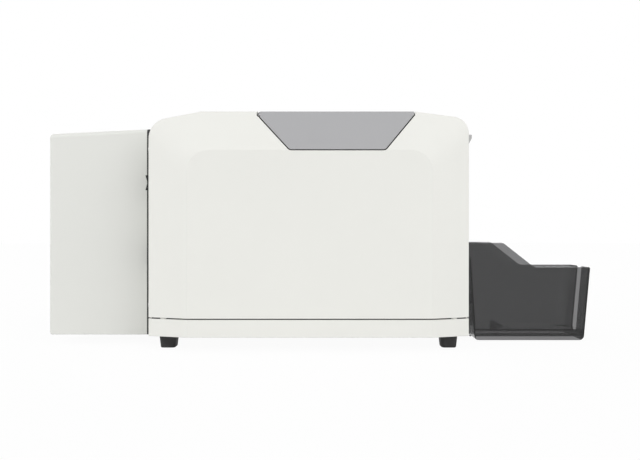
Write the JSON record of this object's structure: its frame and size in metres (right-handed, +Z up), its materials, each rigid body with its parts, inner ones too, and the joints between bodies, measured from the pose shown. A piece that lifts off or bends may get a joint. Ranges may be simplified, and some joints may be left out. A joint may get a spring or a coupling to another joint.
{
  "type": "id card printer",
  "caption": "Desktop ID card printer: white housing with a grey wrap-over lid, front cassette door, smoked card hopper and a tall card flipper module at the rear.",
  "frame": {"origin": "on the floor plane, at the middle of the overall length and width", "axes": "+X to the front of the printer (the hopper side), +Z up, -Y is the pictured side"},
  "size_m": [0.666, 0.225, 0.2744],
  "materials": {
    "white_shell": "finely textured warm white ABS",
    "module_shell": "smooth warm white ABS",
    "grey_cover": "finely textured mid grey ABS",
    "light_grey_trim": "light grey ABS",
    "foot_rubber": "near black rubber",
    "smoked_plastic": "smoked clear polycarbonate, polished",
    "black_plastic": "black moulded plastic",
    "rocker_plastic": "glossy black",
    "key_plastic": "grey keypad",
    "display_glass": "dark display window",
    "lamp_lens": "green lamp lens",
    "zinc_steel": "zinc plated sheet steel",
    "shaft_steel": "ground steel",
    "roller_rubber": "black feed rubber",
    "cleaning_rubber": "tacky blue cleaning rubber",
    "gear_plastic": "natural acetal",
    "bush_plastic": "filled black polymer",
    "belt_rubber": "black timing belt",
    "motor_metal": "black painted motor can",
    "board_green": "green circuit board",
    "ribbon_film": "dark dyed film",
    "cartridge_plastic": "grey cartridge plastic",
    "ceramic_head": "ceramic strip on an aluminium block",
    "card_white": "blank white PVC cards",
    "cassette_plastic": "dark grey cassette"
  },
  "bodies": {
    "printer": {"base_pan": "white_shell", "upper_housing": "white_shell", "foot_pads": "foot_rubber", "lid_hinge_pin": "shaft_steel", "door_hinge_pin": "shaft_steel", "control_panel": "black_plastic", "display_window": "display_glass", "status_lamp": "lamp_lens", "key_board": "board_green", "switch_frame": "black_plastic", "mains_inlet": "black_plastic", "data_ports": "zinc_steel", "fan_frame": "black_plastic", "side_plates": "zinc_steel", "chassis_bars": "shaft_steel", "shaft_bushes": "bush_plastic", "drive_motor": "motor_metal", "drive_belts": "belt_rubber", "card_cassette": "cassette_plastic", "card_stack": "card_white", "ribbon_cartridge": "cartridge_plastic", "ribbon_film": "ribbon_film", "power_supply": "zinc_steel", "main_board": "board_green", "flipper_housing": "module_shell", "flipper_frame": "zinc_steel", "flipper_motor": "motor_metal"},
    "lid": {"lid_cover": "grey_cover"},
    "door": {"front_door": "white_shell", "door_grip": "light_grey_trim"},
    "hopper": {"output_hopper": "smoked_plastic"},
    "rocker": {"power_rocker": "rocker_plastic"},
    "key_a": {"left_key": "key_plastic"},
    "key_b": {"middle_key": "key_plastic"},
    "key_c": {"right_key": "key_plastic"},
    "fan": {"fan_rotor": "black_plastic"},
    "platen": {"platen_roller": "roller_rubber", "platen_gear": "gear_plastic"},
    "rear_feed": {"rear_feed_roller": "roller_rubber"},
    "inner_feed": {"inner_feed_roller": "roller_rubber"},
    "front_feed": {"front_feed_roller": "roller_rubber"},
    "exit_feed": {"exit_feed_roller": "roller_rubber"},
    "rear_pinch": {"rear_pinch_roller": "shaft_steel"},
    "inner_pinch": {"inner_pinch_roller": "shaft_steel"},
    "cleaner": {"cleaning_roller": "cleaning_rubber"},
    "exit_pinch": {"exit_pinch_roller": "shaft_steel"},
    "idler": {"drive_idler": "gear_plastic"},
    "spool_gear": {"spool_idler": "gear_plastic"},
    "pinion": {"motor_pinion": "gear_plastic"},
    "supply": {"supply_spool": "ribbon_film"},
    "takeup": {"takeup_spool": "ribbon_film", "takeup_gear": "gear_plastic"},
    "head": {"head_carrier": "zinc_steel", "print_head": "ceramic_head"},
    "follower": {"card_follower": "cassette_plastic"},
    "picker": {"pick_roller": "roller_rubber"},
    "drum": {"flipper_drum": "black_plastic", "drum_nip_rollers": "roller_rubber", "drum_gear": "gear_plastic"},
    "drum_pinion": {"flipper_pinion": "gear_plastic"}
  },
  "joints": [
    {"name": "lid_swing", "type": "hinge", "parent": "printer", "child": "lid", "pos_m": [-0.07335, 0, 0.2714], "axis": [0, -1, 0], "range_deg": [0, 75]},
    {"name": "door_swing", "type": "hinge", "parent": "printer", "child": "door", "pos_m": [0.1617, 0, 0.135], "axis": [0, 1, 0], "range_deg": [0, 80]},
    {"name": "hopper_slide", "type": "slide", "parent": "printer", "child": "hopper", "axis": [1, 0, 0], "range_m": [0, 0.04]},
    {"name": "rocker_tilt", "type": "hinge", "parent": "printer", "child": "rocker", "pos_m": [-0.1996, -0.08, 0.19385], "axis": [0, 1, 0], "range_deg": [-8, 8]},
    {"name": "left_key_press", "type": "slide", "parent": "printer", "child": "key_a", "axis": [-0.1288, 0, -0.9917], "range_m": [0, 0.001], "stiffness_N_per_m": 300},
    {"name": "middle_key_press", "type": "slide", "parent": "printer", "child": "key_b", "axis": [-0.1288, 0, -0.9917], "range_m": [0, 0.001], "stiffness_N_per_m": 300},
    {"name": "right_key_press", "type": "slide", "parent": "printer", "child": "key_c", "axis": [-0.1288, 0, -0.9917], "range_m": [0, 0.001], "stiffness_N_per_m": 300},
    {"name": "fan_spin", "type": "hinge", "parent": "printer", "child": "fan", "pos_m": [-0.1936, 0.079, 0.196], "axis": [1, 0, 0], "continuous": true},
    {"name": "platen_turn", "type": "hinge", "parent": "printer", "child": "platen", "pos_m": [-0.01795, 0, 0.104], "axis": [0, 1, 0], "continuous": true},
    {"name": "rear_feed_turn", "type": "hinge", "parent": "printer", "child": "rear_feed", "pos_m": [-0.16795, 0, 0.104], "axis": [0, 1, 0], "continuous": true},
    {"name": "inner_feed_turn", "type": "hinge", "parent": "printer", "child": "inner_feed", "pos_m": [-0.09295, 0, 0.104], "axis": [0, 1, 0], "continuous": true},
    {"name": "front_feed_turn", "type": "hinge", "parent": "printer", "child": "front_feed", "pos_m": [0.05705, 0, 0.104], "axis": [0, 1, 0], "continuous": true},
    {"name": "exit_feed_turn", "type": "hinge", "parent": "printer", "child": "exit_feed", "pos_m": [0.13205, 0, 0.104], "axis": [0, 1, 0], "continuous": true},
    {"name": "rear_pinch_turn", "type": "hinge", "parent": "printer", "child": "rear_pinch", "pos_m": [-0.16795, 0, 0.11786], "axis": [0, 1, 0], "continuous": true},
    {"name": "inner_pinch_turn", "type": "hinge", "parent": "printer", "child": "inner_pinch", "pos_m": [-0.09295, 0, 0.11786], "axis": [0, 1, 0], "continuous": true},
    {"name": "cleaner_turn", "type": "hinge", "parent": "printer", "child": "cleaner", "pos_m": [0.05705, 0, 0.11786], "axis": [0, 1, 0], "continuous": true},
    {"name": "exit_pinch_turn", "type": "hinge", "parent": "printer", "child": "exit_pinch", "pos_m": [0.13205, 0, 0.11786], "axis": [0, 1, 0], "continuous": true},
    {"name": "idler_turn", "type": "hinge", "parent": "printer", "child": "idler", "pos_m": [-0.01254, 0, 0.07449], "axis": [0, 1, 0], "continuous": true},
    {"name": "spool_gear_turn", "type": "hinge", "parent": "printer", "child": "spool_gear", "pos_m": [-0.00179, 0, 0.13729], "axis": [0, 1, 0], "continuous": true},
    {"name": "pinion_turn", "type": "hinge", "parent": "printer", "child": "pinion", "pos_m": [0.01205, 0, 0.07], "axis": [0, 1, 0], "continuous": true},
    {"name": "supply_turn", "type": "hinge", "parent": "printer", "child": "supply", "pos_m": [-0.06295, 0, 0.165], "axis": [0, 1, 0], "continuous": true},
    {"name": "takeup_turn", "type": "hinge", "parent": "printer", "child": "takeup", "pos_m": [0.02705, 0, 0.165], "axis": [0, 1, 0], "continuous": true},
    {"name": "head_lift", "type": "hinge", "parent": "printer", "child": "head", "pos_m": [-0.10295, 0, 0.14], "axis": [0, -1, 0], "range_deg": [0, 12]},
    {"name": "follower_slide", "type": "slide", "parent": "printer", "child": "follower", "axis": [0, 0, 1], "range_m": [0, 0.012]},
    {"name": "pick_turn", "type": "hinge", "parent": "printer", "child": "picker", "pos_m": [0.09205, 0, 0.1227], "axis": [0, 1, 0], "continuous": true},
    {"name": "drum_turn", "type": "hinge", "parent": "printer", "child": "drum", "pos_m": [-0.2676, 0, 0.11238], "axis": [0, 1, 0], "continuous": true},
    {"name": "drum_pinion_turn", "type": "hinge", "parent": "printer", "child": "drum_pinion", "pos_m": [-0.2676, 0, 0.08138], "axis": [0, 1, 0], "continuous": true}
  ],
  "couplings": [
    {"joint": "rear_feed_turn", "follows": "platen_turn", "ratio": 1},
    {"joint": "inner_feed_turn", "follows": "platen_turn", "ratio": 1},
    {"joint": "front_feed_turn", "follows": "platen_turn", "ratio": 1},
    {"joint": "exit_feed_turn", "follows": "platen_turn", "ratio": 1},
    {"joint": "pick_turn", "follows": "platen_turn", "ratio": 1},
    {"joint": "rear_pinch_turn", "follows": "platen_turn", "ratio": -1.6},
    {"joint": "inner_pinch_turn", "follows": "platen_turn", "ratio": -1.6},
    {"joint": "cleaner_turn", "follows": "platen_turn", "ratio": -1.6},
    {"joint": "exit_pinch_turn", "follows": "platen_turn", "ratio": -1.6},
    {"joint": "idler_turn", "follows": "platen_turn", "ratio": -0.66667},
    {"joint": "pinion_turn", "follows": "platen_turn", "ratio": 1.7143},
    {"joint": "spool_gear_turn", "follows": "platen_turn", "ratio": -0.48},
    {"joint": "takeup_turn", "follows": "platen_turn", "ratio": 0.8},
    {"joint": "supply_turn", "follows": "platen_turn", "ratio": 0.52},
    {"joint": "drum_pinion_turn", "follows": "drum_turn", "ratio": -3.4286}
  ]
}
